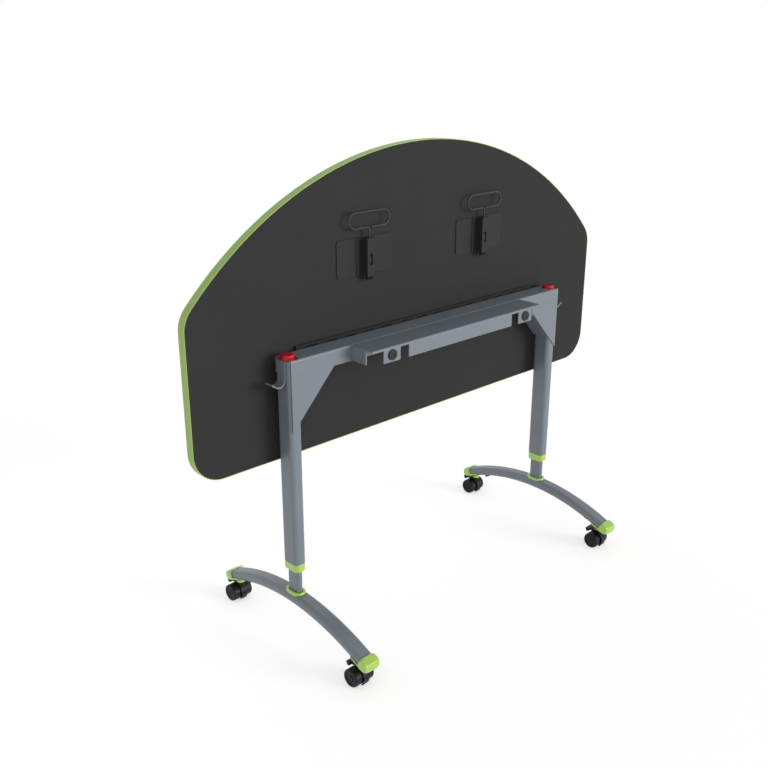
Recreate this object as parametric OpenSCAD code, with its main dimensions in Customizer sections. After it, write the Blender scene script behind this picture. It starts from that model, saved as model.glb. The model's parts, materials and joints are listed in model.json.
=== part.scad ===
// Flip top training table with a half-round top that tilts on a piano hinge,
// two T-legs that slide in and out, and four braked twin-wheel casters.
// X runs along the table, +Y points to the back and +Z up, in millimetres.
// The origin is on the floor under the middle of the table, with the top
// tilted up and the casters turned as they stand when the table is stored.

/* [Table top] */
// Length of the top along X
table_w = 1500; // [1400:10:1600]
// Depth of the top, from the straight edge to the crown of the arc
table_d = 748; // [700:2:800]
// Length of the straight side edges
side_h = 405; // [380:5:430]
// Radius of the two corners at the straight edge
corner_r = 80; // [40:5:110]
// Radius that blends each side into the arc
shoulder_r = 79; // [40:1:100]
// Thickness of the whole top
top_t = 25; // [22:1:30]
// Thickness of the laminate on the upper face
laminate_t = 0.8; // [0.6:0.1:1.2]
// Thickness of the edge band
band_t = 2; // [1:0.5:3]
// Distance from the hinge axis to the straight edge
hinge_to_edge = 282; // [264:0.5:304]

/* [Frame] */
// Height of the upper face of the crossbar above the floor
frame_top_z = 789; // [760:1:820]
// Distance of each leg from the middle of the table
leg_x = 499; // [470:1:540]
// Thickness of the folded steel sheet
sheet_t = 3; // [2:0.5:3.5]
// Height of the crossbar
bar_h = 41; // [36:1:50]
// How far the crossbar passes the middle of each leg
bar_over = 13.5; // [10:0.5:16]
// Outer bend radius of the folded sheets
bend_r = 5; // [4:0.5:6]
// Length of each gusset along the crossbar
gusset_l = 133; // [110:1:150]
// Height of each gusset below the crossbar
gusset_h = 144; // [120:1:170]

/* [Shelf] */
// Half of the length of the shelf
shelf_half = 324.5; // [312:0.5:340]
// How far the shelf stands out in front of the crossbar
shelf_depth = 78; // [70:1:80]
// Half of the length of the front apron
apron_half = 200; // [180:1:202]
// Height of the apron and of the dock plates
apron_h = 39.5; // [34:0.5:44]
// Distance of each dock plate from the middle of the table
dock_x = 258; // [257:1:264]
// Width of each dock plate
dock_w = 57; // [50:1:58]
// Height of the lip along the rest of the shelf
lip_h = 5.3; // [5.2:0.1:6]
// Depth of the plates that close the shelf at its ends
end_depth = 53; // [40:1:60]
// Thickness of those plates
end_t = 4; // [3:0.5:5]
// Diameter of the rubber dock pads
pad_d = 28; // [20:1:32]
// Thickness of the rubber dock pads
pad_t = 4; // [3:0.5:6]

/* [Leg tubes] */
// Width of the outer tube along X
tube_w = 35; // [33:1:40]
// Depth of the outer tube along Y
tube_l = 56; // [53:1:62]
// Corner radius of the outer tube
tube_r = 12; // [9:0.5:15]
// Wall of the outer tube
tube_wall = 2; // [1.5:0.5:2.5]
// Height of the lower end of the outer tube
tube_low_z = 236; // [232:1:260]
// Width of the inner post along X
post_w = 20; // [18:0.5:21]
// Depth of the inner post along Y
post_l = 43; // [40:0.5:44]
// Corner radius of the inner post
post_r = 9; // [7:0.5:9]
// Wall of the inner post
post_wall = 2; // [1.5:0.5:2.5]
// Length of the post above the foot
post_h = 330; // [300:5:380]
// Length of the bush that shows below the outer tube
bush_h = 24; // [20:1:28]
// Length of the bush inside the outer tube
bush_in_h = 40; // [30:1:60]

/* [Feet] */
// Height of the crown of the foot above the floor
foot_top_z = 145.9; // [143:0.1:150]
// Radius of the middle line of the foot
foot_arc_r = 683; // [660:1:760]
// Half of the span of the foot tube
foot_half = 275; // [272:0.5:278]
// Width of the foot tube
foot_w = 43; // [42:0.5:46]
// Height of the foot tube
foot_h = 27.6; // [26:0.2:28]
// Corner radius of the foot tube
foot_r = 11; // [9:0.5:12.5]
// Wall of the foot tube
foot_wall = 2.5; // [2:0.5:3]
// Half of the span over the shoes
shoe_half = 299; // [297:0.5:303]
// Wall of the plastic shoes
shoe_t = 3.5; // [3:0.5:4.5]
// Length of foot that each shoe covers from above
shoe_cap_l = 29; // [24:1:34]
// Length of the side walls of each shoe
shoe_side_l = 58; // [54:1:66]
// Depth of the boot at the foot of the post along Y
boot_l = 61; // [59:1:66]
// Width of the boot along X
boot_w = 38; // [36:1:42]
// Thickness of the bead of the boot
boot_bead = 9; // [8:0.5:10]
// Height of the flat underside of the shoes above the floor
shoe_low_z = 60.5; // [60:0.1:61]

/* [Casters] */
// Diameter of the wheels
wheel_d = 48; // [46:1:50]
// Width of each wheel
wheel_w = 26.5; // [24:0.5:28]
// Distance between the two wheels of a caster, middle to middle
wheel_pitch = 34.5; // [34:0.5:37]
// Distance of the axle behind the swivel axis
trail = 12.5; // [10:0.5:14]
// Distance of each caster from the post along Y
caster_y = 260; // [258:1:263]
// Angle that the casters stand at
caster_turn = 2; // [-10:1:10]
// Height of the caster up to the boss of the shoe
caster_h = 57; // [56:0.5:58.5]
// Diameter of the steel stem
stem_d = 11; // [8:0.5:12]
// Diameter of the axle
axle_d = 8; // [6:0.5:9]

/* [Hinge] */
// Half of the length of the piano hinge
hinge_half = 448; // [420:2:450]
// Number of knuckles along the hinge
knuckle_n = 28; // [20:2:36]
// Radius of the knuckles
knuckle_r = 4; // [3.5:0.1:4.5]
// Radius of the hinge pin
pin_r = 2; // [1.5:0.1:2.4]
// Thickness of the hinge leaves
leaf_t = 1.6; // [1.2:0.1:2]
// Width of the hinge leaves
leaf_h = 26; // [22:1:30]

/* [Latches] */
// Distance of each latch from the middle of the table
latch_x = 215.5; // [214:0.5:217]
// Width of the latch base plate
latch_w = 187; // [160:1:200]
// Height of the latch base plate
latch_h = 96; // [88:1:104]
// Distance of the latch base plate above the hinge axis
latch_up = 145.5; // [145:0.5:150]
// Thickness of the latch base plate
latch_t = 2.5; // [2:0.5:3]
// Width of the channel of the latch
hat_w = 26; // [25:1:30]
// Distance of the face of the channel from the table top
hat_h = 27; // [26:0.5:30]
// Width of each flange of the channel
flange_w = 17; // [12:1:22]
// Wall of the channel
hat_t = 2; // [1.5:0.5:2.2]
// Width of the sliding tongue
tongue_w = 20; // [18:0.5:20.5]
// Thickness of the sliding tongue
tongue_t = 8; // [7:0.5:8.5]
// How far the tongue stands out of the channel
tongue_out = 12; // [11:0.5:12.5]
// Travel of the latch handle
latch_travel = 12; // [11.5:0.5:13]
// Diameter of the wire of the latch handle
wire_d = 5; // [4:0.5:6]
// Width of the wire loop between the middles of the wire
loop_w = 134; // [110:1:150]
// Height of the wire loop between the middles of the wire
loop_h = 39; // [34:1:44]

/* [Bumpers and hooks] */
// Diameter of the red bumpers
bumper_d = 36; // [32:1:38]
// Height of the bumpers above the crossbar
bumper_rise = 9; // [8:0.1:9.4]
// Width of the bag hooks
hook_w = 28; // [20:1:32]
// Thickness of the bag hooks
hook_t = 4; // [3:0.5:5]
// Length of the straight part of the hook
hook_l = 46; // [40:1:52]
// Bend radius of the hook at the middle of the strap
hook_r = 16; // [12:1:18]
// Length of the lip of the hook
hook_lip = 14; // [10:1:24]
// Angle of the lip above level
hook_rise = 33; // [25:1:45]

/* [Hidden] */
$fn = 64;

// Overrun that every cut passes the metal by
over = 1;
// Gap between pieces that are fixed to each other
seat = 0.15;
// Gap between a round shaft and its bore, on the radius
fit = 0.05;
// Gap between pieces that slide past each other
slip = 0.4;
// Gap left where the top meets its stops
rest_gap = 0.2;
// Overlap of two shapes that are joined into one piece
lap = 0.2;
// Step where a plate leaves the bend that carries it
step = 0.05;
// Overrun of a cut along an arc, in degrees
over_a = 2;

// Colours as the photograph shows them
paint = [0.42, 0.46, 0.49];
charcoal = [0.10, 0.10, 0.10];
lime = [0.47, 0.63, 0.24];
red = [0.62, 0.05, 0.09];
black = [0.03, 0.03, 0.035];
steel = [0.62, 0.63, 0.65];
white = [0.86, 0.86, 0.84];

// Places that follow from the sizes above
bar_y = tube_l / 2 + seat + sheet_t;
hinge_y = bar_y + slip + knuckle_r;
under_gap = knuckle_r + slip + rest_gap;
under_y = hinge_y + under_gap;
hinge_z = frame_top_z + bumper_rise - under_gap;
top_low_z = hinge_z - hinge_to_edge;
bar_end_x = leg_x + bar_over;
bar_low_z = frame_top_z - bar_h;
tube_top_z = frame_top_z - sheet_t - slip;
shelf_y = bar_y + shelf_depth;
foot_mid_z = foot_top_z - foot_h / 2;
foot_arc_z = foot_mid_z - foot_arc_r;
foot_end_a = asin(foot_half / foot_arc_r);
axle_z = wheel_d / 2;
latch_z = hinge_z + latch_up;

// Shapes that repeat

// Rectangle with round corners, centred
module round_rect(w, l, r) {
    square([w - 2 * r, l], center = true);
    square([w, l - 2 * r], center = true);
    for (sx = [-1, 1], sy = [-1, 1])
        translate([sx * (w / 2 - r), sy * (l / 2 - r)]) circle(r);
}

// Upright bar of that section
module round_bar(w, l, r, h) {
    linear_extrude(h) round_rect(w, l, r);
}

// Upright tube of that section, open at both ends
module round_tube(w, l, r, wall, h) {
    difference() {
        round_bar(w, l, r, h);
        translate([0, 0, -over])
            round_bar(w - 2 * wall, l - 2 * wall, r - wall, h + 2 * over);
    }
}

// Round bead that runs once round a rectangle with round corners
module bead_loop(w, l, r, bead_r) {
    for (sx = [-1, 1], sy = [-1, 1])
        translate([sx * (w / 2 - r), sy * (l / 2 - r), 0])
            rotate([0, 0, atan2(sy, sx) - 45])
                rotate_extrude(angle = 90) translate([r, 0]) circle(bead_r);
    for (s = [-1, 1]) {
        translate([s * w / 2, 0, 0]) rotate([90, 0, 0])
            cylinder(r = bead_r, h = l - 2 * r, center = true);
        translate([0, s * l / 2, 0]) rotate([0, 90, 0])
            cylinder(r = bead_r, h = w - 2 * r, center = true);
    }
}

// Outline drawn in X and Z, drawn out along Y on both sides of zero
module along_y(depth) {
    rotate([90, 0, 0]) linear_extrude(depth, center = true) children();
}

// Outline drawn in Y and Z, drawn out along X on both sides of zero
module along_x(length) {
    rotate([90, 0, 90]) linear_extrude(length, center = true) children();
}

// Sweep along the arc of a foot: outlines are drawn with X outwards from the
// centre of the arc and Y along the table, between two angles from upright
module foot_sweep(a0, a1) {
    translate([0, 0, foot_arc_z])
        rotate([0, -90, 0]) rotate([0, 0, a0])
            rotate_extrude(angle = a1 - a0, $fn = 180)
                translate([foot_arc_r, 0]) children();
}

// Table top

arc_sag = table_d - side_h;
arc_r = (table_w * table_w / 4 + arc_sag * arc_sag) / (2 * arc_sag);
arc_z = table_d - arc_r;
shoulder_x = table_w / 2 - shoulder_r;
shoulder_z = arc_z + sqrt(pow(arc_r - shoulder_r, 2) - shoulder_x * shoulder_x);
// Reach of the sector under the arc, as a share of the distance of the shoulder's centre
sector_share = 1.3;
sector_x = shoulder_x * sector_share;
sector_z = arc_z + (shoulder_z - arc_z) * sector_share;

// Half-round outline, with its straight edge at zero, drawn in by an amount
module top_outline(inset) {
    half = table_w / 2 - inset;
    lower_r = corner_r - inset;
    upper_r = shoulder_r - inset;
    for (s = [-1, 1]) {
        translate([s * (table_w / 2 - corner_r), corner_r]) circle(lower_r);
        intersection() {
            translate([s * shoulder_x, shoulder_z]) circle(upper_r);
            polygon([[s * shoulder_x, shoulder_z], [s * table_w, shoulder_z],
                     [s * sector_x, sector_z]]);
        }
    }
    translate([-half, corner_r]) square([2 * half, shoulder_z - corner_r]);
    translate([corner_r - table_w / 2, inset])
        square([table_w - 2 * corner_r, corner_r - inset]);
    intersection() {
        translate([0, arc_z]) circle(arc_r - inset, $fn = 180);
        polygon([
            [-shoulder_x, shoulder_z],
            [shoulder_x, shoulder_z],
            [sector_x, sector_z],
            [0, arc_z + 2 * arc_r],
            [-sector_x, sector_z]
        ]);
    }
}

// Panel of that outline, upright, its front face at y
module top_panel(inset, y, t) {
    translate([0, y + t, top_low_z]) rotate([90, 0, 0])
        linear_extrude(t) top_outline(inset);
}

screw_r = 2;
screw_l = 14;
screw_head_r = 4;
screw_head_t = 0.6;
latch_screw_in = 12;
leaf_screw_n = 8;
leaf_screw_x = hinge_half * 2 / leaf_screw_n;

// Places of the screws in the table top, seen from the front
function latch_screws() = [
    for (side = [-1, 1], sx = [-1, 1], sz = [0, 1])
        [side * latch_x + sx * (latch_w / 2 - latch_screw_in),
         latch_z + latch_screw_in + sz * (latch_h - 2 * latch_screw_in)]
];
function leaf_screws(z) = [
    for (i = [0 : leaf_screw_n - 1])
        [(i + 0.5) * leaf_screw_x - hinge_half, z]
];
leaf_screw_z = hinge_z - leaf_h + screw_head_r + leaf_t;

module table_top() {
    color(charcoal) difference() {
        top_panel(band_t + seat, under_y, top_t - laminate_t);
        for (p = concat(latch_screws(), leaf_screws(leaf_screw_z)))
            translate([p[0], under_y - over, p[1]]) rotate([-90, 0, 0])
                cylinder(r = screw_r + fit, h = screw_l + over);
    }
}

module top_laminate() {
    color(white) top_panel(band_t + seat, under_y + top_t - laminate_t, laminate_t);
}

module edge_band() {
    color(lime) difference() {
        top_panel(0, under_y, top_t);
        top_panel(band_t, under_y - over, top_t + 2 * over);
    }
}

// One screw with its head at the origin, pointing along +Y
module screw(reach) {
    rotate([-90, 0, 0]) cylinder(r = screw_r, h = reach);
    rotate([90, 0, 0]) cylinder(r = screw_head_r, h = screw_head_t);
}

module top_screws() {
    color(black) {
        for (p = latch_screws())
            translate([p[0], under_y - latch_t, p[1]]) screw(screw_l + latch_t - slip);
        for (p = leaf_screws(leaf_screw_z))
            translate([p[0], under_y - leaf_t, p[1]]) screw(screw_l + leaf_t - slip);
    }
}

// Piano hinge

knuckle_l = 2 * hinge_half / knuckle_n;
knuckle_gap = 0.5;

// Leaf with every second knuckle; the leaf lies against the face at leaf_y
module hinge_leaf(first, leaf_y, towards) {
    plate_y = min(leaf_y, leaf_y + towards * leaf_t);
    plate_top = hinge_z - knuckle_r - slip;
    difference() {
        union() {
            translate([-hinge_half, plate_y, hinge_z - leaf_h])
                cube([2 * hinge_half, leaf_t, leaf_h - knuckle_r - slip]);
            for (i = [first : 2 : knuckle_n - 1])
                translate([i * knuckle_l - hinge_half + knuckle_gap / 2, 0, 0]) {
                    translate([0, hinge_y, hinge_z]) rotate([0, 90, 0])
                        cylinder(r = knuckle_r, h = knuckle_l - knuckle_gap);
                    knuckle_root(leaf_y, towards, plate_top);
                }
        }
        translate([-hinge_half - over, hinge_y, hinge_z]) rotate([0, 90, 0])
            cylinder(r = pin_r + fit, h = 2 * (hinge_half + over));
    }
}

// Web that joins one knuckle to its leaf
module knuckle_root(leaf_y, towards, plate_top) {
    inner_y = hinge_y - towards * (pin_r + fit + leaf_t / 2);
    low_y = min(leaf_y, inner_y);
    translate([0, low_y, plate_top - leaf_t])
        cube([knuckle_l - knuckle_gap, abs(inner_y - leaf_y), hinge_z - plate_top + leaf_t]);
}

module frame_hinge_leaf() {
    color(black) difference() {
        hinge_leaf(0, bar_y, 1);
        for (p = leaf_screws(leaf_screw_z))
            translate([p[0] + knuckle_l, bar_y - over, p[1]]) rotate([-90, 0, 0])
                cylinder(r = screw_r + fit, h = leaf_t + 2 * over);
    }
}

module top_hinge_leaf() {
    color(black) difference() {
        hinge_leaf(1, under_y, -1);
        for (p = leaf_screws(leaf_screw_z))
            translate([p[0], under_y - leaf_t - over, p[1]]) rotate([-90, 0, 0])
                cylinder(r = screw_r + fit, h = leaf_t + 2 * over);
    }
}

module hinge_pin() {
    color(black) translate([-hinge_half, hinge_y, hinge_z]) rotate([0, 90, 0])
        cylinder(r = pin_r, h = 2 * hinge_half);
}

// Upper frame

module leg_tube(side) {
    color(paint) translate([side * leg_x, 0, tube_low_z])
        round_tube(tube_w, tube_l, tube_r, tube_wall, tube_top_z - tube_low_z);
}

// Section of the crossbar: top and two flanges, with round bends
module bar_section() {
    difference() {
        bent_top(bar_y, bend_r, frame_top_z);
        bent_top(bar_y - sheet_t, bend_r - sheet_t, frame_top_z - sheet_t);
        translate([-bar_y - over, bar_low_z - 2 * over])
            square([2 * (bar_y + over), 2 * over]);
    }
}

// Upright block with two round upper corners, reaching below the crossbar
module bent_top(half, r, top) {
    low = bar_low_z - over;
    translate([-half, low]) square([2 * half, top - r - low]);
    translate([r - half, low]) square([2 * (half - r), top - low]);
    for (s = [-1, 1]) translate([s * (half - r), top - r]) circle(r);
}

module crossbar() {
    color(paint) difference() {
        along_x(2 * bar_end_x) bar_section();
        for (side = [-1, 1])
            translate([side * leg_x, 0, bar_low_z - over])
                linear_extrude(bar_h + 2 * over) leg_cut();
    }
}

// Room for the tube and its bumper at the end of the crossbar
module leg_cut() {
    round_rect(tube_w + 2 * seat, tube_l + 2 * seat, tube_r + seat);
    circle(bumper_d / 2 + slip);
    translate([-bar_over - over, -tube_l / 2 + tube_r])
        square([2 * (bar_over + over), tube_l - 2 * tube_r]);
}

// Front plate and sloping flange of one gusset; it is drawn for the right leg
module gusset(side) {
    slope = atan2(gusset_h, gusset_l);
    reach = leg_x - tube_w / 2 - seat;
    start = bar_end_x - gusset_l;
    top = bar_low_z - seat;
    color(paint) mirror([side < 0 ? 1 : 0, 0, 0]) {
        translate([0, -bar_y + sheet_t / 2, 0]) along_y(sheet_t)
            polygon([[start, top], [bar_end_x, top], [bar_end_x, top - gusset_h]]);
        intersection() {
            along_y(2 * bar_y) difference() {
                polygon([[start, top], [bar_end_x, top], [bar_end_x, top - gusset_h]]);
                translate([sheet_t / sin(slope), 0])
                    polygon([[start, top + over], [bar_end_x + over, top + over],
                             [bar_end_x + over, top - gusset_h - over / tan(slope)],
                             [bar_end_x, top - gusset_h], [start, top]]);
            }
            translate([start, -bar_y, top - gusset_h])
                cube([reach - start, 2 * bar_y, gusset_h]);
        }
    }
}

// Shelf

// Section of the shelf with a front edge of a given height
module shelf_section(drop) {
    top = frame_top_z;
    translate([-shelf_y + bend_r, top - sheet_t])
        square([shelf_depth - bend_r - seat, sheet_t]);
    translate([-shelf_y, top - drop]) square([sheet_t, drop - bend_r]);
    translate([-shelf_y + bend_r, top - bend_r]) intersection() {
        difference() {
            circle(bend_r);
            circle(bend_r - sheet_t);
        }
        translate([-bend_r, 0]) square(bend_r);
    }
}

module shelf() {
    color(paint) {
        along_x(2 * shelf_half) shelf_section(lip_h);
        along_x(2 * apron_half) shelf_section(apron_h);
        for (s = [-1, 1]) {
            translate([s * dock_x, 0, 0]) difference() {
                along_x(dock_w) shelf_section(apron_h);
                translate([0, -shelf_y - over, pad_z]) rotate([-90, 0, 0])
                    cylinder(r = screw_r + seat, h = sheet_t + 2 * over);
            }
            translate([s * (shelf_half - end_t / 2), -bar_y - end_depth / 2 - seat,
                       frame_top_z - (sheet_t + apron_h) / 2])
                cube([end_t, end_depth, apron_h - sheet_t + 2 * lap], center = true);
        }
    }
}

pad_drop = 1;
pad_z = frame_top_z - apron_h / 2 - pad_drop;

// Rubber pads with the stud that holds each in its dock plate
module dock_pads() {
    color(black) for (s = [-1, 1])
        translate([s * dock_x, -shelf_y, pad_z]) rotate([90, 0, 0]) difference() {
            union() {
                cylinder(r = pad_d / 2, h = pad_t - pad_rim);
                cylinder(r = pad_d / 2 - pad_rim, h = pad_t);
                translate([0, 0, pad_t - pad_rim]) rotate_extrude()
                    translate([pad_d / 2 - pad_rim, 0]) circle(pad_rim);
                translate([0, 0, -sheet_t - pad_rim]) cylinder(r = screw_r, h = sheet_t + 2 * pad_rim);
            }
            translate([0, 0, pad_t - pad_rim]) cylinder(r = pad_d / 6, h = pad_t);
        }
}
pad_rim = 1.2;

// Bumper that stands on the end of a leg tube
module bumper(side) {
    low = tube_top_z;
    high = frame_top_z + bumper_rise - rest_gap;
    edge = (high - low) / 3;
    color(red) translate([side * leg_x, 0, low]) {
        cylinder(r = bumper_d / 2, h = high - low - edge);
        cylinder(r = bumper_d / 2 - edge, h = high - low);
        translate([0, 0, high - low - edge]) rotate_extrude()
            translate([bumper_d / 2 - edge, 0]) circle(edge);
        translate([0, 0, -bumper_plug])
            round_bar(tube_w - 2 * tube_wall - 2 * seat, tube_l - 2 * tube_wall - 2 * seat,
                      tube_r - tube_wall - seat, bumper_plug);
    }
}
bumper_plug = 12;

// Flat strap bent into a hook, on the outer side of the tube
module bag_hook(side) {
    top = tube_top_z - slip;
    outer_r = hook_r + hook_t / 2;
    color(paint) mirror([side < 0 ? 1 : 0, 0, 0])
        translate([leg_x + tube_w / 2 + seat + outer_r, hook_w / 2, top - hook_l])
            rotate([90, 0, 0]) {
                translate([-outer_r, 0, 0]) cube([hook_t, hook_l, hook_w]);
                rotate([0, 0, 180]) rotate_extrude(angle = 90 + hook_rise)
                    translate([outer_r - hook_t, 0]) square([hook_t, hook_w]);
                rotate([0, 0, hook_rise]) {
                    translate([-lap, step - outer_r, 0])
                        cube([hook_lip + lap, hook_t - 2 * step, hook_w]);
                    translate([hook_lip, -hook_r, 0]) rotate([0, 0, -90])
                        rotate_extrude(angle = 180) square([hook_t / 2 - step, hook_w]);
                }
            }
}

// Plastic bush in the lower end of the tube: a sleeve inside, a rim below
module leg_bush(side) {
    rim_h = bush_h / 4;
    groove = bush_h / 20;
    inner_w = tube_w - 2 * tube_wall - 2 * seat;
    inner_l = tube_l - 2 * tube_wall - 2 * seat;
    color(lime) translate([side * leg_x, 0, tube_low_z]) difference() {
        union() {
            translate([0, 0, -seat]) round_bar(inner_w, inner_l, tube_r - tube_wall - seat,
                                               bush_in_h + seat);
            translate([0, 0, -rim_h - seat]) round_bar(tube_w, tube_l, tube_r, rim_h);
            translate([0, 0, -rim_h - seat - groove])
                round_bar(inner_w, inner_l, tube_r - tube_wall - seat, groove);
            translate([0, 0, -bush_h - seat])
                soft_base(tube_w, tube_l, tube_r, bush_h - rim_h - groove, rim_h);
        }
        translate([0, 0, -bush_h - over])
            round_bar(post_w + 2 * slip, post_l + 2 * slip, post_r + slip,
                      bush_h + bush_in_h + 2 * over);
    }
}

// Slab whose lower edge is rounded by a given radius
module soft_base(w, l, r, h, edge) {
    translate([0, 0, edge]) round_bar(w, l, r, h - edge);
    round_bar(w - 2 * edge, l - 2 * edge, r - edge, edge);
    translate([0, 0, edge]) bead_loop(w - 2 * edge, l - 2 * edge, r - edge, edge);
}

buffer_r = 9;
buffer_in = (bar_end_x - bar_over - tube_w / 2 - hinge_half) / 2;

// Rubber buffers on the back of the crossbar that stop the upright top
module stop_buffers() {
    color(black) for (s = [-1, 1])
        translate([s * (hinge_half + buffer_in), bar_y, bar_low_z + bar_h / 2])
            rotate([-90, 0, 0]) cylinder(r = buffer_r, h = under_y - bar_y - rest_gap);
}

// Latches

hat_inner = hat_w / 2 - hat_t;
tongue_off = bumper_rise + lip_h + 2 * slip + tongue_t / 2;
hat_top_z = latch_z + latch_h;
keyhole_r = 4.2;
keyhole_gap = 22;
keyhole_z = latch_z + latch_h / 2 + wire_d;
plate_r = 9;
// Length of the spring when the latch is pulled right back
spring_l = 30;
// Radius of the spring
spring_r = 5;
tongue_l = latch_h + tongue_out - hat_t - spring_l - latch_travel;
// Height of the loop above the channel, and the bend from the stem into it
loop_up = 27;
wire_bend = 6;

// Section of the latch channel, drawn in X and in distance from the top
module hat_section() {
    difference() {
        union() {
            translate([-hat_w / 2, latch_t]) square([hat_w, hat_h - latch_t]);
            translate([-hat_w / 2 - flange_w, latch_t])
                square([hat_w + 2 * flange_w, hat_t]);
        }
        translate([-hat_inner, latch_t - over])
            square([2 * hat_inner, hat_h - latch_t - hat_t + over]);
    }
}

module latch_bracket(side) {
    color(black) translate([side * latch_x, under_y, latch_z]) difference() {
        union() {
            translate([0, 0, latch_h / 2]) rotate([90, 0, 0]) linear_extrude(latch_t)
                round_rect(latch_w, latch_h, plate_r);
            linear_extrude(latch_h) mirror([0, 1, 0]) hat_section();
            translate([-hat_inner, -hat_h + hat_t / 2, latch_h - hat_t])
                cube([2 * hat_inner, hat_h - hat_t, hat_t]);
        }
        translate([0, -tongue_off, latch_h - hat_t - over])
            cylinder(r = wire_d / 2 + slip, h = hat_t + 2 * over);
        keyhole();
        for (sx = [-1, 1], sz = [0, 1])
            translate([sx * (latch_w / 2 - latch_screw_in), -latch_t - over,
                       latch_screw_in + sz * (latch_h - 2 * latch_screw_in)])
                rotate([-90, 0, 0]) cylinder(r = screw_r + fit, h = latch_t + 2 * over);
    }
}

// Two round holes joined by a narrower slot, in the face of the channel
module keyhole() {
    translate([0, -hat_h - over, keyhole_z - latch_z]) rotate([-90, 0, 0])
        linear_extrude(hat_t + 2 * over) {
            circle(keyhole_r);
            translate([0, keyhole_gap]) circle(keyhole_r);
            translate([0, 0]) square([keyhole_r, keyhole_gap]);
        }
}

// Sliding tongue with a sloping nose that rides over the edge of the shelf
module latch_tongue(side) {
    nose = tongue_t - slip;
    color(black) translate([side * latch_x, under_y - tongue_off, latch_z - tongue_out])
        difference() {
            translate([-tongue_w / 2, -tongue_t / 2, 0])
                cube([tongue_w, tongue_t, tongue_l]);
            along_x(tongue_w + 2 * over)
                polygon([[-tongue_t / 2 - over, -over], [tongue_t / 2 - slip, -over],
                         [tongue_t / 2 - slip, 0], [-tongue_t / 2, nose],
                         [-tongue_t / 2 - over, nose]]);
            translate([0, 0, tongue_l / 2])
                cylinder(r = wire_d / 2 + fit, h = tongue_l);
        }
}

// One wire: a stem that turns aside into a long loop, which ends beside the stem
module latch_handle(side) {
    foot_z = latch_z - tongue_out + tongue_l / 2 + slip;
    loop_z = hat_top_z + loop_up;
    end_r = loop_h / 2;
    straight = loop_w / 2 - end_r;
    color(black) translate([side * latch_x, under_y - tongue_off, 0]) {
        translate([0, 0, foot_z]) cylinder(r = wire_d / 2, h = loop_z - wire_bend - foot_z);
        translate([-wire_bend, 0, loop_z - wire_bend]) wire_arc(wire_bend, 0, 90);
        translate([-straight, 0, loop_z]) wire_run(straight - wire_bend);
        translate([-straight, 0, loop_z + end_r]) wire_arc(end_r, 90, 180);
        translate([-straight, 0, loop_z + loop_h]) wire_run(2 * straight);
        translate([straight, 0, loop_z + end_r]) wire_arc(end_r, -90, 180);
        translate([wire_bend, 0, loop_z]) wire_run(straight - wire_bend);
    }
}

// Straight piece of that wire along X
module wire_run(reach) {
    rotate([0, 90, 0]) cylinder(r = wire_d / 2, h = reach);
}

// Bent piece of that wire in X and Z, from one angle on
module wire_arc(r, start, turn) {
    rotate([90, 0, 0]) rotate([0, 0, start])
        rotate_extrude(angle = turn) translate([r, 0]) circle(wire_d / 2);
}

module latch_spring(side) {
    low = latch_z - tongue_out + tongue_l + slip;
    high = hat_top_z - hat_t - slip;
    color(steel) translate([side * latch_x, under_y - tongue_off, low]) difference() {
        cylinder(r = spring_r, h = high - low);
        translate([0, 0, -over]) cylinder(r = wire_d / 2 + slip, h = high - low + 2 * over);
    }
}

// Lower legs

module foot_section(grow) {
    round_rect(foot_h + 2 * grow, foot_w + 2 * grow, foot_r + grow);
}

module post(side) {
    color(paint) translate([side * leg_x, 0, 0]) difference() {
        translate([0, 0, foot_mid_z])
            round_tube(post_w, post_l, post_r, post_wall, foot_h / 2 + post_h);
        foot_sweep(-foot_end_a / 2, foot_end_a / 2) foot_section(seat);
    }
}

module foot(side) {
    slot_w = 2 * (socket_r + 2 * slip);
    color(paint) translate([side * leg_x, 0, 0]) difference() {
        foot_sweep(-foot_end_a, foot_end_a) foot_section(0);
        foot_sweep(-foot_end_a - over_a, foot_end_a + over_a) foot_section(-foot_wall);
        for (s = [0, 1]) mirror([0, s, 0]) {
            translate([0, caster_y, 0]) cylinder(r = slot_w / 2, h = foot_z(caster_y));
            foot_sweep(foot_a(caster_y), foot_end_a + over_a)
                translate([-foot_h, -slot_w / 2]) square([foot_h, slot_w]);
        }
    }
}

// Height of the middle of the foot at a distance from the post, and its angle
function foot_z(y) = foot_arc_z + sqrt(foot_arc_r * foot_arc_r - y * y);
function foot_a(y) = asin(y / foot_arc_r);

// Oval collar that closes the joint of post and foot
module boot(side) {
    bead_r = boot_bead / 2;
    color(lime) translate([side * leg_x, 0, 0]) difference() {
        union() {
            translate([0, 0, foot_top_z - foot_h / 4])
                soft_base(boot_w, boot_l, boot_w / 2 - boot_flat, foot_h / 4 + bead_r / 2, boot_flat);
            translate([0, 0, foot_top_z + bead_r / 2])
                bead_loop(boot_w - boot_bead, boot_l - boot_bead,
                          boot_w / 2 - boot_flat - bead_r, bead_r);
        }
        foot_sweep(-foot_end_a / 2, foot_end_a / 2) foot_section(seat);
        translate([0, 0, foot_mid_z])
            round_bar(post_w + 2 * seat, post_l + 2 * seat, post_r + seat, foot_h + boot_bead);
    }
}

// Half of the flat at each end of the boot, and the rounding of its lower edge
boot_flat = 1;
stem_l = 26;
socket_r = stem_d / 2 + foot_wall;

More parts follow.
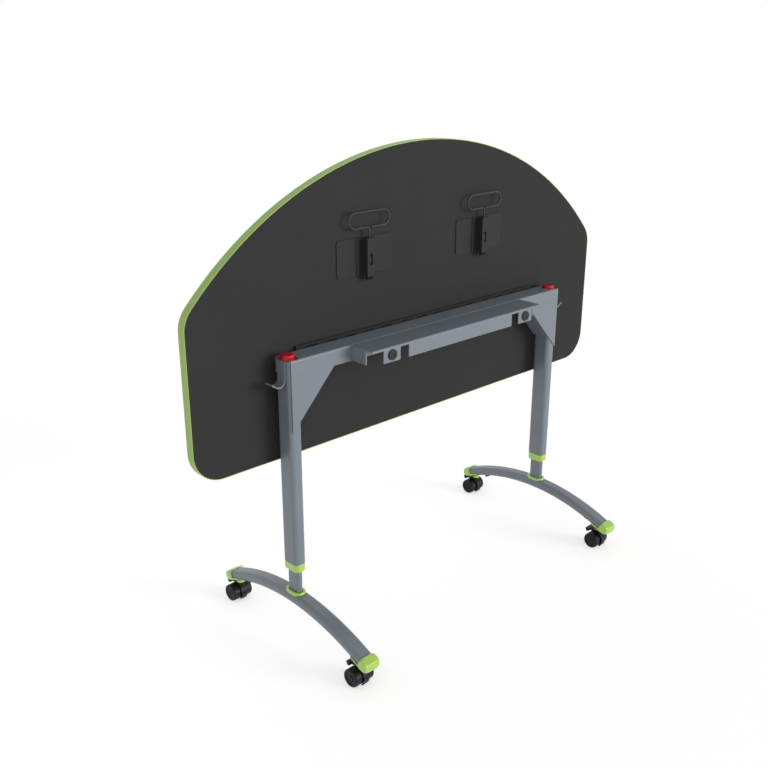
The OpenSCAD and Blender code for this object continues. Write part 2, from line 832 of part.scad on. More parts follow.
// Shoe at one end of a foot, drawn for the rear end
module shoe(side, end) {
    end_a = foot_end_a + foot_a(seat);
    side_a = foot_a(shoe_half - shoe_side_l);
    color(lime) translate([side * leg_x, 0, 0]) mirror([0, end > 0 ? 0 : 1, 0])
        difference() {
            union() {
                difference() {
                    union() {
                        intersection() {
                            foot_sweep(side_a, foot_a(shoe_half + foot_h)) foot_section(shoe_t);
                            shoe_block();
                        }
                        translate([0, caster_y, caster_h])
                            cylinder(r = foot_w * boss_share, h = foot_z(caster_y) - caster_h);
                    }
                    foot_sweep(side_a - over_a, end_a) foot_section(seat);
                    foot_sweep(side_a - over_a, foot_a(shoe_half - shoe_cap_l))
                        translate([foot_h * wall_share, -foot_w]) square([foot_h, 2 * foot_w]);
                }
                foot_sweep(foot_a(caster_y - 2 * socket_r), end_a + foot_a(lap))
                    foot_section(-foot_wall - seat);
                translate([0, caster_y, caster_h])
                    cylinder(r = socket_r, h = foot_z(caster_y) - caster_h);
            }
            translate([0, caster_y, caster_h - over])
                cylinder(r = stem_d / 2 + fit, h = stem_l + slip + over);
        }
}
// Radius of the boss of a shoe as a share of the width of the foot
boss_share = 0.3;
// Height of the side walls above the middle of the foot, as a share of it
wall_share = -0.18;

// Block that trims a shoe: plan with round corners, flat below
module shoe_block() {
    w = foot_w + 2 * shoe_t;
    round_r = foot_w / 3;
    translate([0, shoe_half - shoe_side_l, shoe_low_z]) linear_extrude(foot_top_z) {
        translate([-w / 2, 0]) square([w, shoe_side_l - round_r]);
        translate([round_r - w / 2, 0]) square([w - 2 * round_r, shoe_side_l]);
        for (s = [-1, 1]) translate([s * (w / 2 - round_r), shoe_side_l - round_r])
            circle(round_r);
    }
}

// Casters

web_t = wheel_pitch - wheel_w - 2 * slip;
hood_gap = 1.5;
hood_t = 3.5;
hood_in_r = wheel_d / 2 + hood_gap;
hood_out_r = hood_in_r + hood_t;
hood_w = 18;
fender_low_z = 3;
web_r = 19;
axle_in = 1.2;
hood_front_a = -47;
hood_rear_a = 78;
collar_z = caster_h - slip;
brake_w = 30;
brake_t = 3;
brake_l = 17.5;
brake_pin_r = 2;
brake_ear_r = 3.8;
brake_ear_t = 3.5;
brake_r = wheel_d / 2 + brake_ear_r + 2 * slip;
brake_a = 63;
brake_y = trail + brake_r * cos(brake_a);
brake_z = axle_z + brake_r * sin(brake_a);

// Puts what is drawn at the origin where one caster stands
module at_caster(side, end) {
    translate([side * leg_x, end * caster_y, 0]) rotate([0, 0, caster_turn]) children();
}

// Side view of the hood, from the front over the top
module hood_outline() {
    far = 2 * hood_out_r;
    intersection() {
        difference() {
            circle(hood_out_r);
            circle(hood_in_r);
        }
        polygon([[0, 0], far * [-cos(hood_front_a), sin(hood_front_a)], [-far, far], [0, far],
                 far * [cos(hood_rear_a), sin(hood_rear_a)]]);
    }
}

// Side view of the web between the wheels: hub plate, front down to the end of
// the hood, neck below the collar and ear for the brake
module web_outline() {
    translate([trail, axle_z]) {
        circle(web_r);
        intersection() {
            circle(hood_in_r + lap);
            translate([-hood_out_r, fender_low_z - axle_z])
                square([hood_out_r, 2 * hood_out_r]);
        }
        intersection() {
            circle(hood_in_r + lap);
            square(hood_out_r);
            polygon([[0, 0], [0, hood_out_r],
                     2 * hood_out_r * [cos(hood_rear_a), sin(hood_rear_a)]]);
        }
    }
    translate([-stem_d, axle_z]) square([2 * stem_d, collar_z - axle_z]);
    translate([trail, axle_z]) square([brake_y - trail, brake_z - axle_z]);
    translate([brake_y, brake_z]) circle(brake_ear_r);
}

// Hood over both wheels, web between them, collar and steel stem
module housing(side, end) {
    color(black) at_caster(side, end) {
        difference() {
            union() {
                translate([0, trail, axle_z]) along_x(hood_w) hood_outline();
                along_x(web_t) web_outline();
                translate([0, 0, axle_z]) cylinder(r = stem_d, h = collar_z - axle_z);
            }
            for (s = [-1, 1]) translate([s * wheel_pitch / 2, trail, axle_z])
                rotate([0, 90, 0]) cylinder(r = hood_in_r, h = wheel_w + 2 * slip, center = true);
            translate([0, trail, axle_z]) rotate([0, 90, 0])
                cylinder(r = axle_d / 2 + fit, h = wheel_pitch, center = true);
            translate([0, brake_y, brake_z]) rotate([0, 90, 0])
                cylinder(r = brake_pin_r + fit, h = hood_w, center = true);
        }
        translate([0, 0, collar_z - lap]) cylinder(r = stem_d / 2, h = stem_l + slip + lap);
    }
}

module axle(side, end) {
    color(steel) at_caster(side, end) translate([0, trail, axle_z]) rotate([0, 90, 0])
        cylinder(r = axle_d / 2, h = wheel_pitch + wheel_w - 2 * axle_in, center = true);
}

// Section of one wheel: half of its width is on each side of zero
module wheel_section() {
    rim_r = wheel_w / 7;
    half = wheel_w / 2;
    hub_r = axle_d;
    r = wheel_d / 2;
    difference() {
        union() {
            translate([0, -half]) square([r - rim_r, wheel_w]);
            translate([0, -half + rim_r]) square([r, wheel_w - 2 * rim_r]);
            for (s = [-1, 1]) translate([r - rim_r, s * (half - rim_r)]) circle(rim_r);
        }
        translate([-over, -wheel_w]) square([over + axle_d / 2 + fit, 2 * wheel_w]);
        translate([hub_r, half - rim_r / 2]) square([r - 2 * rim_r - hub_r, rim_r]);
    }
}

module wheel(side, end, s) {
    color(black) at_caster(side, end)
        translate([s * wheel_pitch / 2, trail, axle_z]) rotate([0, s * 90, 0])
            rotate_extrude() wheel_section();
}

// Foot lever that locks the wheels: two ears, a pin and a tread
module brake(side, end) {
    inner_x = web_t / 2 + slip;
    start = brake_ear_r + 2 * slip;
    color(black) at_caster(side, end) translate([0, brake_y, brake_z]) {
        rotate([0, 90, 0]) cylinder(r = brake_pin_r, h = 2 * inner_x + lap, center = true);
        for (s = [-1, 1]) translate([s * (inner_x + brake_ear_t / 2), 0, 0])
            along_x(brake_ear_t) {
                circle(brake_ear_r);
                translate([0, brake_ear_r - brake_t]) square([start + lap, brake_t]);
            }
        translate([-brake_w / 2, start, brake_ear_r - brake_t])
            cube([brake_w, brake_l - start, brake_t]);
    }
}

leg_tube(-1);  // left_leg_tube
leg_tube(1);  // right_leg_tube
crossbar();
shelf();
gusset(-1);  // left_gusset
gusset(1);  // right_gusset
bag_hook(-1);  // left_bag_hook
bag_hook(1);  // right_bag_hook
bumper(-1);  // left_bumper
bumper(1);  // right_bumper
leg_bush(-1);  // left_leg_bush
leg_bush(1);  // right_leg_bush
dock_pads();
frame_hinge_leaf();
hinge_pin();
stop_buffers();
table_top();
top_laminate();
edge_band();
top_hinge_leaf();
latch_bracket(-1);  // left_latch_bracket
latch_bracket(1);  // right_latch_bracket
top_screws();
latch_tongue(-1);  // left_latch_tongue
latch_tongue(1);  // right_latch_tongue
latch_handle(-1);  // left_latch_handle
latch_handle(1);  // right_latch_handle
latch_spring(-1);  // left_latch_spring
latch_spring(1);  // right_latch_spring
post(-1);  // left_post
post(1);  // right_post
foot(-1);  // left_foot
foot(1);  // right_foot
boot(-1);  // left_boot
boot(1);  // right_boot
shoe(-1, -1);  // left_front_shoe
shoe(-1, 1);  // left_rear_shoe
shoe(1, -1);  // right_front_shoe
shoe(1, 1);  // right_rear_shoe
housing(-1, -1);  // left_front_housing
housing(-1, 1);  // left_rear_housing
housing(1, -1);  // right_front_housing
housing(1, 1);  // right_rear_housing
axle(-1, -1);  // left_front_axle
axle(-1, 1);  // left_rear_axle
axle(1, -1);  // right_front_axle
axle(1, 1);  // right_rear_axle
wheel(-1, -1, -1);  // left_front_wheel_a
wheel(-1, -1, 1);  // left_front_wheel_b
wheel(-1, 1, -1);  // left_rear_wheel_a
wheel(-1, 1, 1);  // left_rear_wheel_b
wheel(1, -1, -1);  // right_front_wheel_a
wheel(1, -1, 1);  // right_front_wheel_b
wheel(1, 1, -1);  // right_rear_wheel_a
wheel(1, 1, 1);  // right_rear_wheel_b
brake(-1, -1);  // left_front_brake
brake(-1, 1);  // left_rear_brake
brake(1, -1);  // right_front_brake
brake(1, 1);  // right_rear_brake
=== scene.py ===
# %% [markdown]
# A flip top training table, stored upright: a half-round board that tilts on a
# piano hinge, on a frame of two T-legs with braked casters. The construction
# comes in as a fixed frame of named nodes. This lesson dresses it: camera,
# light, finishes, and then the pieces that need softer edges or finer form.

# %% Load the frame
import bpy
import bmesh
import json
import math
from mathutils import Matrix, Vector


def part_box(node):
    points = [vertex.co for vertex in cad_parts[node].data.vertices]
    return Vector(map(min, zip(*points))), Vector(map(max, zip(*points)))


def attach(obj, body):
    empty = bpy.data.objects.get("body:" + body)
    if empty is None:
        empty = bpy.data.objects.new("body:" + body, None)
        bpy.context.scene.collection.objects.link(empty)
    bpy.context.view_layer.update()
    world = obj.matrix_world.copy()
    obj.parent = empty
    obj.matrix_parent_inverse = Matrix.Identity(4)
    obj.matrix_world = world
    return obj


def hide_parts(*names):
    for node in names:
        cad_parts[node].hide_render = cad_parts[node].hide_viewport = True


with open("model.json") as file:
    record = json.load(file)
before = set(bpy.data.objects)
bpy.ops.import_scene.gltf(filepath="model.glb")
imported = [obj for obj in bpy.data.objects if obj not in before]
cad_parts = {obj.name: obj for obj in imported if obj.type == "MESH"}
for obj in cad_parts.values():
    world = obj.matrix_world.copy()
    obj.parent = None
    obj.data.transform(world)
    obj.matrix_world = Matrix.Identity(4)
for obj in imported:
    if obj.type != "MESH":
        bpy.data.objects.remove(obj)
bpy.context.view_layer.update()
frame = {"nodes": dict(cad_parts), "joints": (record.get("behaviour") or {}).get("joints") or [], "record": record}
nodes = frame["nodes"]
body_of_node = {n: b for b, names in frame["record"]["behaviour"]["bodies"].items() for n in names}
slot_of_node = {s["node"]: s["material_slot"] for s in frame["record"]["subparts"]}
sides = ("left", "right")
ends = ("front", "rear")

# %% [markdown]
# The camera stands where the photograph was taken from: high in front of the
# left leg, looking down by some 20 degrees. Its place and angles were solved
# from the straight edges of the table. The lens could be guessed and turned
# until the picture fits, but here it follows from that solution too: its focal
# length in pixels, over the picture's width, times the width of the sensor.

# %% Camera
picture_px = 768
focal_px = 932.4
sensor_mm = 36.0
camera_place = (-1.7647, -1.7013, 1.4899)
camera_down_deg = 20.03
camera_yaw_deg = 42.88

camera_data = bpy.data.cameras.new("camera")
camera_data.sensor_width = sensor_mm
camera_data.lens = focal_px / picture_px * sensor_mm
camera = bpy.data.objects.new("camera", camera_data)
bpy.context.scene.collection.objects.link(camera)
camera.location = camera_place
camera.rotation_euler = (math.radians(90 - camera_down_deg), 0, math.radians(-camera_yaw_deg))
bpy.context.scene.camera = camera
print("lens:", round(camera_data.lens, 2), "mm")

# %% [markdown]
# Materials, the world and the floor are all node trees. Three small helpers
# keep them short: one makes a material and hands back the parts of its tree,
# one adds a node with its settings, and one turns a colour as it is seen on a
# screen into the linear values that a shader takes.

# %% Small helpers for node trees
def new_material(name):
    """A material with a plain Principled shader; returns it and its node tree's parts."""
    mat = bpy.data.materials.new(name)
    mat.use_nodes = True
    tree = mat.node_tree
    return mat, tree.nodes, tree.links, tree.nodes["Principled BSDF"]


def add(nodes_of_tree, kind, **values):
    """Adds one node and sets its properties, or its inputs where the name is an input's."""
    node = nodes_of_tree.new(kind)
    for key, value in values.items():
        if hasattr(node, key):
            setattr(node, key, value)
        else:
            node.inputs[key.replace("_", " ")].default_value = value
    return node


def linear(r, g, b):
    """Turns a colour as seen on a screen, 0 to 255, into the linear values that shaders take."""
    def one(v):
        v /= 255
        return v / 12.92 if v <= 0.04045 else ((v + 0.055) / 1.055) ** 2.4
    return (one(r), one(g), one(b), 1.0)


print("mid grey 128 is", round(linear(128, 128, 128)[0], 3), "in a shader")

# %% [markdown]
# The photograph was taken in a white studio. The world could be one even white,
# but then every face would have the same tone. So the light on the object comes
# from a grey world that is lighter along the walls than overhead, as in a room
# with large windows. Where the camera, a reflection or clear glass looks at the
# world, a Light Path node shows plain white in its place.

# %% World
level_at_horizon = 0.83
level_overhead = 0.25
level_seen = 1.0

world = bpy.data.worlds.new("studio")
bpy.context.scene.world = world
world.use_nodes = True
w_nodes, w_links = world.node_tree.nodes, world.node_tree.links
w_nodes.clear()
path = add(w_nodes, "ShaderNodeLightPath")
seen = add(w_nodes, "ShaderNodeMath", operation="MAXIMUM")
seen_any = add(w_nodes, "ShaderNodeMath", operation="MAXIMUM")
direction = add(w_nodes, "ShaderNodeTexCoord")
height = add(w_nodes, "ShaderNodeSeparateXYZ")
room = add(w_nodes, "ShaderNodeMapRange", To_Min=level_at_horizon, To_Max=level_overhead)
level = add(w_nodes, "ShaderNodeMapRange", To_Max=level_seen)
background = add(w_nodes, "ShaderNodeBackground", Color=(1, 1, 1, 1))
world_out = add(w_nodes, "ShaderNodeOutputWorld")
w_links.new(direction.outputs["Generated"], height.inputs[0])
w_links.new(height.outputs["Z"], room.inputs["Value"])
w_links.new(room.outputs[0], level.inputs["To Min"])
w_links.new(path.outputs["Is Camera Ray"], seen.inputs[0])
w_links.new(path.outputs["Is Transmission Ray"], seen.inputs[1])
w_links.new(seen.outputs[0], seen_any.inputs[0])
w_links.new(path.outputs["Is Glossy Ray"], seen_any.inputs[1])
w_links.new(seen_any.outputs[0], level.inputs["Value"])
w_links.new(level.outputs[0], background.inputs["Strength"])
w_links.new(background.outputs[0], world_out.inputs[0])
bpy.context.scene.view_settings.view_transform = "Standard"
print("world:", level_at_horizon, "at the horizon,", level_overhead, "overhead")

# %% [markdown]
# One wide, even light comes in low from the front right. An area lamp would
# light the near half of the board more than the far half; a sun lamp with a
# large angle lights all of it evenly, as in the photograph. Its direction is
# read from there too: the wire loops stand about 17 mm off the board, and
# their soft shadows lie some 9 mm to the left of them and 3 mm below.

# %% Key light
key_strength = 1.35
key_angle_deg = 28
key_from = (0.45, -0.88, 0.16)

key_data = bpy.data.lights.new("key", "SUN")
key_data.energy = key_strength
key_data.angle = math.radians(key_angle_deg)
key = bpy.data.objects.new("key", key_data)
bpy.context.scene.collection.objects.link(key)
key.location = key_from
key.rotation_euler = Vector(key_from).to_track_quat("Z", "Y").to_euler()
print("key light:", key_strength, "from", key_from)

# %% [markdown]
# The floor is one large pale plane that takes the soft shadow of the casters.
# Lit by this grey room alone it would come out grey. So its material adds a
# glow that only the camera and reflections see, which lifts the open floor to
# white and leaves the shadow, without one bit more light on the table.

# %% Floor
floor_half = 12.0
floor_grey = 0.96
floor_roughness = 0.9
floor_specular = 0.1
floor_glow = 0.53

floor_bm = bmesh.new()
bmesh.ops.create_grid(floor_bm, x_segments=1, y_segments=1, size=floor_half)
floor_mesh = bpy.data.meshes.new("floor")
floor_bm.to_mesh(floor_mesh)
floor_bm.free()
floor = bpy.data.objects.new("floor", floor_mesh)
bpy.context.scene.collection.objects.link(floor)
floor_mat, f_nodes, f_links, f_shader = new_material("floor_white")
f_shader.inputs["Base Color"].default_value = (floor_grey, floor_grey, floor_grey, 1)
f_shader.inputs["Roughness"].default_value = floor_roughness
f_shader.inputs["Specular IOR Level"].default_value = floor_specular
f_path = add(f_nodes, "ShaderNodeLightPath")
f_seen = add(f_nodes, "ShaderNodeMath", operation="MAXIMUM")
f_glow = add(f_nodes, "ShaderNodeMath", operation="MULTIPLY")
f_glow.inputs[1].default_value = floor_glow
f_links.new(f_path.outputs["Is Camera Ray"], f_seen.inputs[0])
f_links.new(f_path.outputs["Is Glossy Ray"], f_seen.inputs[1])
f_links.new(f_seen.outputs[0], f_glow.inputs[0])
f_shader.inputs["Emission Color"].default_value = (1, 1, 1, 1)
f_links.new(f_glow.outputs[0], f_shader.inputs["Emission Strength"])
floor_mesh.materials.append(floor_mat)
print("floor:", 2 * floor_half, "m wide")

# %% [markdown]
# Nearly everything on this table is coated or moulded: powder coat with the
# fine orange peel that such paint dries with, printed backing, laminate and
# plastics with a fine grain. Images could carry that grain; a noise on Object
# coordinates needs none, and keeps its size in metres wherever the piece is.
# A second, slow noise lets the tone drift a little, as it does on real sheets.

# %% A coated surface
grain_detail, grain_roughness = 3.0, 0.6
drift_per_m, drift_detail, drift_roughness = 9.0, 4.0, 0.55
drift_low, drift_high = 0.3, 0.7
roughness_spread = 0.06
relief_share = 0.2


def coated(name, colour, roughness, grain_m, relief, mottling, specular):
    """A surface of one colour with a fine grain in its height and a slow drift in its tone."""
    mat, n, l, shader = new_material(name)
    coords = add(n, "ShaderNodeTexCoord")
    fine = add(n, "ShaderNodeTexNoise", Scale=1 / grain_m, Detail=grain_detail,
               Roughness=grain_roughness)
    slow = add(n, "ShaderNodeTexNoise", Scale=drift_per_m, Detail=drift_detail,
               Roughness=drift_roughness)
    drift = add(n, "ShaderNodeMapRange", From_Min=drift_low, From_Max=drift_high,
                To_Min=1 - mottling, To_Max=1 + mottling)
    tint = add(n, "ShaderNodeVectorMath", operation="SCALE")
    tint.inputs[0].default_value = colour[:3]
    rough = add(n, "ShaderNodeMapRange", To_Min=roughness - roughness_spread,
                To_Max=roughness + roughness_spread)
    bump = add(n, "ShaderNodeBump", Strength=relief, Distance=grain_m * relief_share)
    l.new(coords.outputs["Object"], fine.inputs["Vector"])
    l.new(coords.outputs["Object"], slow.inputs["Vector"])
    l.new(slow.outputs[0], drift.inputs["Value"])
    l.new(drift.outputs[0], tint.inputs["Scale"])
    l.new(tint.outputs[0], shader.inputs["Base Color"])
    l.new(fine.outputs[0], rough.inputs["Value"])
    l.new(rough.outputs[0], shader.inputs["Roughness"])
    l.new(fine.outputs[0], bump.inputs["Height"])
    l.new(bump.outputs[0], shader.inputs["Normal"])
    shader.inputs["Specular IOR Level"].default_value = specular
    return mat, shader


print("grain in detail", grain_detail, "drift", drift_per_m, "per metre")

# %% [markdown]
# One finish for each material slot of the construction. The frame is a satin
# grey-blue powder coat, the board's backing a charcoal with a faint mottled
# print, the mouldings a lime plastic. Each could be its own function; a table
# of one line each is easier to compare, and the colours in it are written as
# they look on a screen. The lime mouldings get a clear coat on top, which gives
# them the bright line along their corners. Only the steel is metallic.

# %% Finishes by slot
# slot: name, colour, roughness, grain in metres, relief, mottling, specular level
slot_finishes = {
    "frame_paint": ("frame_paint", (126, 135, 144), 0.36, 0.0012, 0.10, 0.02, 0.6),
    "board": ("charcoal_backing", (57, 57, 57), 0.75, 0.0009, 0.10, 0.04, 0.10),
    "laminate": ("pale_laminate", (226, 225, 220), 0.38, 0.0010, 0.05, 0.01, 0.5),
    "edge_green": ("edge_band_green", (167, 201, 103), 0.45, 0.0010, 0.06, 0.02, 0.5),
    "green_plastic": ("moulded_green", (178, 224, 64), 0.24, 0.0014, 0.03, 0.02, 0.7),
    "bumper_red": ("bumper_red", (196, 14, 36), 0.34, 0.0012, 0.06, 0.03, 0.5),
    "black_rubber": ("black_rubber", (52, 50, 48), 0.66, 0.0008, 0.12, 0.06, 0.3),
    "black_metal": ("black_powder_coat", (30, 30, 31), 0.46, 0.0010, 0.10, 0.04, 0.14),
    "caster_plastic": ("caster_plastic", (18, 19, 21), 0.38, 0.0010, 0.08, 0.04, 0.22),
    "wheel_tread": ("wheel_tread", (20, 22, 21), 0.40, 0.0010, 0.08, 0.05, 0.22),
    "steel": ("zinc_steel", (190, 192, 196), 0.34, 0.0006, 0.06, 0.04, 0.5),
}
moulded_coat_weight = 1.0
moulded_coat_roughness = 0.22

finishes = {}
shaders = {}
for slot_name, (name, screen_colour, *surface) in slot_finishes.items():
    finishes[slot_name], shaders[slot_name] = coated(name, linear(*screen_colour), *surface)
shaders["green_plastic"].inputs["Coat Weight"].default_value = moulded_coat_weight
shaders["green_plastic"].inputs["Coat Roughness"].default_value = moulded_coat_roughness
shaders["steel"].inputs["Metallic"].default_value = 1.0
print("finishes by slot:", len(finishes))

# %% [markdown]
# A few pieces look unlike the rest of their slot: the axles and springs are
# blackened, the wire loops catch a little more light than the plates, and the
# plates, their screws and the hinge nearly vanish against the board. New slots
# could hold them, but slots belong to the construction. So they are found by
# the ending of the node's name.

# %% Finishes of single pieces
single_finishes = {
    "blackened_steel": ((24, 24, 25), 0.38, 0.0006, 0.06, 0.04, 0.3),
    "loop_wire": ((50, 50, 51), 0.40, 0.0006, 0.06, 0.04, 0.35),
    "bracket_coat": ((50, 50, 50), 0.50, 0.0010, 0.10, 0.03, 0.14),
    "hinge_coat": ((50, 50, 50), 0.75, 0.0010, 0.08, 0.04, 0.10),
}
finish_by_ending = {
    "top_screws": "bracket_coat", "_latch_bracket": "bracket_coat",
    "_hinge_leaf": "hinge_coat", "hinge_pin": "hinge_coat",
    "_axle": "blackened_steel", "_latch_spring": "blackened_steel",
    "_latch_handle": "loop_wire",
}
own_finish = {}
for name, (screen_colour, *surface) in single_finishes.items():
    own_finish[name], _ = coated(name, linear(*screen_colour), *surface)


def finish_for(node, slot_name):
    """The finish of a node: its slot's, or one of its own by the ending of its name."""
    for ending, name in finish_by_ending.items():
        if node.endswith(ending):
            return own_finish[name]
    return finishes[slot_name]


print("finishes of single pieces:", len(own_finish))

# %% [markdown]
# Sheet metal and moulded plastic never have a truly sharp edge: a thin line of
# light runs along each one. The nodes have exact, sharp edges. A bevel shader
# could fake the line, but it is lost in the exported meshes, so most pieces are
# copies of a node's mesh with real rounded edges. The copy is merged, its flat
# triangles are joined into faces again, and a narrow bevel rounds the edges.
# All faces are shaded smooth, so a Weighted Normal modifier follows: it lets
# the large faces win at their corners, which keeps a flat sheet flat up to its
# rounded edge.

# %% Pieces made from the nodes
merge_distance = 1e-5
flat_join_angle = math.radians(0.5)
edge_angle = math.radians(28)
edge_segments = 2


def finished(name, mesh, body, slot_name, replaced=()):
    """Makes the object of a finished piece, gives it its finish and ties it to its body."""
    piece = bpy.data.objects.new(name, mesh)
    bpy.context.scene.collection.objects.link(piece)
    mesh.materials.clear()
    mesh.materials.append(finish_for(replaced[0] if replaced else name, slot_name))
    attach(piece, body)
    if replaced:
        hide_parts(*replaced)
    return piece


def level_faces(piece):
    """Lets the large faces of a piece win at their corners, so that flats stay flat."""
    modifier = piece.modifiers.new("level_faces", "WEIGHTED_NORMAL")
    modifier.mode = "FACE_AREA"


def softened(node, edge_m):
    """A copy of one node with its edges rounded by a bevel."""
    bm = bmesh.new()
    bm.from_mesh(nodes[node].data)
    bmesh.ops.remove_doubles(bm, verts=bm.verts, dist=merge_distance)
    bmesh.ops.dissolve_limit(bm, angle_limit=flat_join_angle, verts=bm.verts, edges=bm.edges)
    for face in bm.faces:
        face.smooth = True
    mesh = bpy.data.meshes.new(node + "_soft")
    bm.to_mesh(mesh)
    bm.free()
    piece = finished(node + "_soft", mesh, body_of_node[node], slot_of_node[node], [node])
    bevel = piece.modifiers.new("edges", "BEVEL")
    bevel.width = edge_m
    bevel.segments = edge_segments
    bevel.limit_method = "ANGLE"
    bevel.angle_limit = edge_angle
    level_faces(piece)
    return piece


print("edges sharper than", round(math.degrees(edge_angle)), "degrees are rounded")

# %% [markdown]
# How round an edge is tells what the piece is made of. One width for all would
# be simpler, but it makes steel look like plastic. So cut sheet gets 0.7 mm,
# tubes, the crossbar and the shelf 0.5 mm, and moulded caster parts a full
# millimetre. The gussets get a little more than the rest of the frame, so that
# their seam against the crossbar shows as a line.

# %% Edges of sheet metal, tubes and turned parts
sheet_edge = 0.0007
seam_edge = 0.0009
tube_edge = 0.0005
band_edge = 0.0009
small_edge = 0.0003
wheel_edge = 0.0008
plastic_edge = 0.0010

soft_edge = {
    "crossbar": tube_edge, "shelf": tube_edge, "table_top": small_edge,
    "edge_band": band_edge, "top_laminate": small_edge, "top_screws": small_edge,
    "dock_pads": small_edge, "stop_buffers": small_edge,
}
for side in sides:
    soft_edge[side + "_gusset"] = seam_edge
    soft_edge[side + "_bag_hook"] = sheet_edge
    for part in ("leg_tube", "post", "foot"):
        soft_edge[side + "_" + part] = tube_edge
    for part in ("latch_bracket", "latch_tongue"):
        soft_edge[side + "_" + part] = sheet_edge
    for end in ends:
        corner = side + "_" + end
        soft_edge[corner + "_housing"] = plastic_edge
        soft_edge[corner + "_brake"] = plastic_edge
        soft_edge[corner + "_wheel_a"] = wheel_edge
        soft_edge[corner + "_wheel_b"] = wheel_edge
for node_name, edge in soft_edge.items():
    made = softened(node_name, edge)
    print(made.name, len(made.data.polygons), "faces")

# %% [markdown]
# Each shoe closes the end of an arched foot tube with a full, square nose. It
# could be cut from a box by eye, but its top has to run along the arch of the
# foot, so its side view is drawn from the arch's own circle, pushed across the
# tube, and bevelled on all edges. The block stays inside the shoe's own box.

# %% Nose of a shoe
arc_radius = 0.683
arc_top_z = 0.1321
arc_centre_z = arc_top_z - arc_radius
tube_half_height = 0.0138
shoe_wall = 0.0035
nose_half_width = 0.025
nose_tip = 0.299
nose_low = 0.0605
nose_length = 0.032
nose_top_step = 0.011
nose_round = 0.0062
nose_round_segments = 4


def arch_z(outwards, rise):
    """Height of a line that runs along the arch of the foot, a rise above its middle line."""
    return arc_centre_z + math.sqrt((arc_radius + rise) ** 2 - outwards ** 2)


def add_nose(bm, corner):
    """Adds the nose block of one shoe to a bmesh: side view, pushed across, edges bevelled."""
    box_low, box_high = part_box(corner + "_shoe")
    middle_x = (box_low[0] + box_high[0]) / 2
    to_end = 1 if corner.endswith("rear") else -1
    over = tube_half_height + shoe_wall
    side_view = [(nose_tip - nose_length, nose_low), (nose_tip, nose_low)]
    for step in range(3):
        outwards = nose_tip - step * nose_top_step
        side_view.append((outwards, arch_z(outwards, over)))
    rim = [bm.verts.new((middle_x - nose_half_width, to_end * y, z)) for y, z in side_view]
    face = bm.faces.new(rim)
    pushed = bmesh.ops.extrude_face_region(bm, geom=[face])
    moved = [v for v in pushed["geom"] if isinstance(v, bmesh.types.BMVert)]
    bmesh.ops.translate(bm, vec=(2 * nose_half_width, 0, 0), verts=moved)
    block = set(rim + moved)
    bmesh.ops.recalc_face_normals(bm, faces=[f for f in bm.faces if set(f.verts) <= block])
    bmesh.ops.bevel(bm, geom=[e for e in bm.edges if set(e.verts) <= block], offset=nose_round,
                    offset_type="OFFSET", segments=nose_round_segments, profile=0.5,
                    affect="EDGES", material=-1)


print("top of the nose at its tip:", round(arch_z(nose_tip, tube_half_height + shoe_wall), 4), "m")

# %% [markdown]
# The green shoes, boots and bushes and the red bumpers are injection mouldings
# with generous radii on every corner. A bevel breaks down where their small
# walls and hollows meet. So their nodes are remeshed into small even faces and
# smoothed, which melts the corners to a radius of a few of those faces. A voxel
# remesh also joins what overlaps, and so takes in each shoe's nose.

# %% Moulded shoes, boots, bushes and bumpers
moulding_face = 0.0009
bumper_face = 0.7 * moulding_face
smooth_share = 0.5
shoe_passes = 14
boot_passes = 30
bush_passes = 8
bumper_passes = 10


def melted(node, face_m, passes):
    """A copy of one node, remeshed and smoothed until its corners are round."""
    bm = bmesh.new()
    bm.from_mesh(nodes[node].data)
    bmesh.ops.remove_doubles(bm, verts=bm.verts, dist=merge_distance)
    if node.endswith("_shoe"):
        add_nose(bm, node[:-len("_shoe")])
    mesh = bpy.data.meshes.new(node + "_moulded")
    bm.to_mesh(mesh)
    bm.free()
    piece = finished(node + "_moulded", mesh, body_of_node[node], slot_of_node[node], [node])
    remesh = piece.modifiers.new("even_faces", "REMESH")
    remesh.mode = "VOXEL"
    remesh.voxel_size = face_m
    remesh.use_smooth_shade = True
    smooth = piece.modifiers.new("round_corners", "SMOOTH")
    smooth.factor = smooth_share
    smooth.iterations = passes
    return piece


mouldings = []
for side in sides:
    mouldings.append(melted(side + "_boot", moulding_face, boot_passes))
    mouldings.append(melted(side + "_leg_bush", moulding_face, bush_passes))
    mouldings.append(melted(side + "_bumper", bumper_face, bumper_passes))
    for end in ends:
        mouldings.append(melted(side + "_" + end + "_shoe", moulding_face, shoe_passes))
print("moulded pieces:", len(mouldings))

# %% [markdown]
# A round black rubber button is pressed into the underside of the foot tube,
# just inside each shoe. The photograph shows those at the rear ends. It is a
# short cylinder with a rounded lower rim, square to the arch where it sits. It
# is made upright at the origin and then leaned and moved within its mesh, so
# that its object stays at the origin as the construction's nodes do.

# %% Rubber buttons under the feet
button_place = 0.212
button_radius = 0.009
button_height = 0.0075
button_sink = 0.0003
button_sides = 48
button_round = 0.0022
button_round_segments = 4


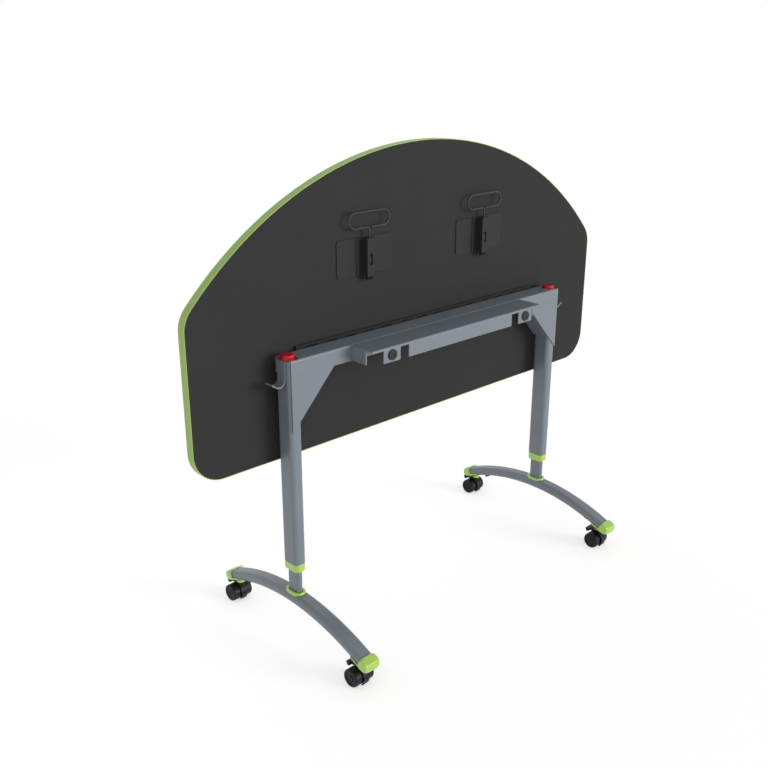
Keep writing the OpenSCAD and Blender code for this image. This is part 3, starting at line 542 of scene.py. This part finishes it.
def foot_button(side, end):
    """One button, made at the origin and then turned and moved to its place in the mesh."""
    box_low, box_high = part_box(side + "_foot")
    middle_x = (box_low[0] + box_high[0]) / 2
    to_end = 1 if end == "rear" else -1
    bm = bmesh.new()
    bmesh.ops.create_cone(bm, cap_ends=True, segments=button_sides, radius1=button_radius,
                          radius2=button_radius, depth=button_height)
    low_rim = [e for e in bm.edges if all(v.co.z < 0 for v in e.verts)]
    bmesh.ops.bevel(bm, geom=low_rim, offset=button_round, offset_type="OFFSET",
                    segments=button_round_segments, profile=0.5, affect="EDGES", material=-1)
    lean = math.asin(button_place / arc_radius)
    reach = arc_radius - tube_half_height - button_height / 2 + button_sink
    place = (middle_x, to_end * reach * math.sin(lean), arc_centre_z + reach * math.cos(lean))
    turn = Matrix.Rotation(-to_end * lean, 4, "X")
    bmesh.ops.transform(bm, matrix=Matrix.Translation(place) @ turn, verts=bm.verts)
    for face in bm.faces:
        face.smooth = True
    name = side + "_" + end + "_foot_button"
    mesh = bpy.data.meshes.new(name)
    bm.to_mesh(mesh)
    bm.free()
    piece = finished(name, mesh, body_of_node[side + "_foot"], "black_rubber")
    level_faces(piece)
    return piece


buttons = [foot_button(side, end) for side in sides for end in ends]
print("foot buttons:", len(buttons), "with", len(buttons[0].data.polygons), "faces each")

# %% [markdown]
# Under the tread of each brake lever sits the block that is pressed against
# both wheels. It could be a plain box, but a box deep enough to be seen would
# cut into the wheels when the lever goes down by 20 degrees. From the side it
# is a wedge that follows the wheels in that lowered place, about 1 mm off them.
# Its outline is drawn beside the pivot, in the plane that the lever turns in,
# then pushed out along the pivot's axis and rounded with a bevel. Each point
# is a distance away from the pivot and a height above it, in metres.

# %% Brake blocks
caster_joints = {j["name"]: j for j in frame["joints"]}
block_half = 0.0148
block_round = 0.0010
block_round_segments = 2
wedge = [(0.0048, 0.0014), (0.0164, 0.0014), (0.0172, 0.0002), (0.0164, -0.0020),
         (0.0126, -0.0075), (0.0098, -0.0065), (0.0072, -0.0052), (0.0050, -0.0042)]


def brake_block(corner):
    """The wedge under one brake lever, made in the lever's own directions."""
    pivot = caster_joints[corner + "_brake_pedal"]
    sideways = -Vector(pivot["axis"])
    outwards = Vector((0, 0, 1)).cross(sideways)
    start = Vector(pivot["pos_m"]) - sideways * block_half
    bm = bmesh.new()
    rim = [bm.verts.new(start + outwards * a + Vector((0, 0, b))) for a, b in wedge]
    face = bm.faces.new(rim)
    pushed = bmesh.ops.extrude_face_region(bm, geom=[face])
    moved = [v for v in pushed["geom"] if isinstance(v, bmesh.types.BMVert)]
    bmesh.ops.translate(bm, vec=sideways * 2 * block_half, verts=moved)
    bmesh.ops.recalc_face_normals(bm, faces=bm.faces)
    bmesh.ops.bevel(bm, geom=bm.edges[:], offset=block_round, offset_type="OFFSET",
                    segments=block_round_segments, profile=0.5, affect="EDGES", material=-1)
    mesh = bpy.data.meshes.new(corner + "_brake_block")
    bm.to_mesh(mesh)
    bm.free()
    return finished(corner + "_brake_block", mesh, corner + "_brake", "caster_plastic")


blocks = [brake_block(side + "_" + end) for side in sides for end in ends]
print("brake blocks:", len(blocks), "with", len(blocks[0].data.polygons), "faces each")

# %% [markdown]
# What is left are thin or round pieces whose nodes are good as they stand: the
# wire loops, springs, axles, hinge leaves and the hinge pin. Copies would add
# nothing, so the nodes themselves stay and only get their finish.

# %% Finishes for the nodes that stay as they are
for name, thing in nodes.items():
    thing.data.materials.clear()
    thing.data.materials.append(finish_for(name, slot_of_node[name]))
print("nodes shown as they are:", sum(not o.hide_render for o in nodes.values()))
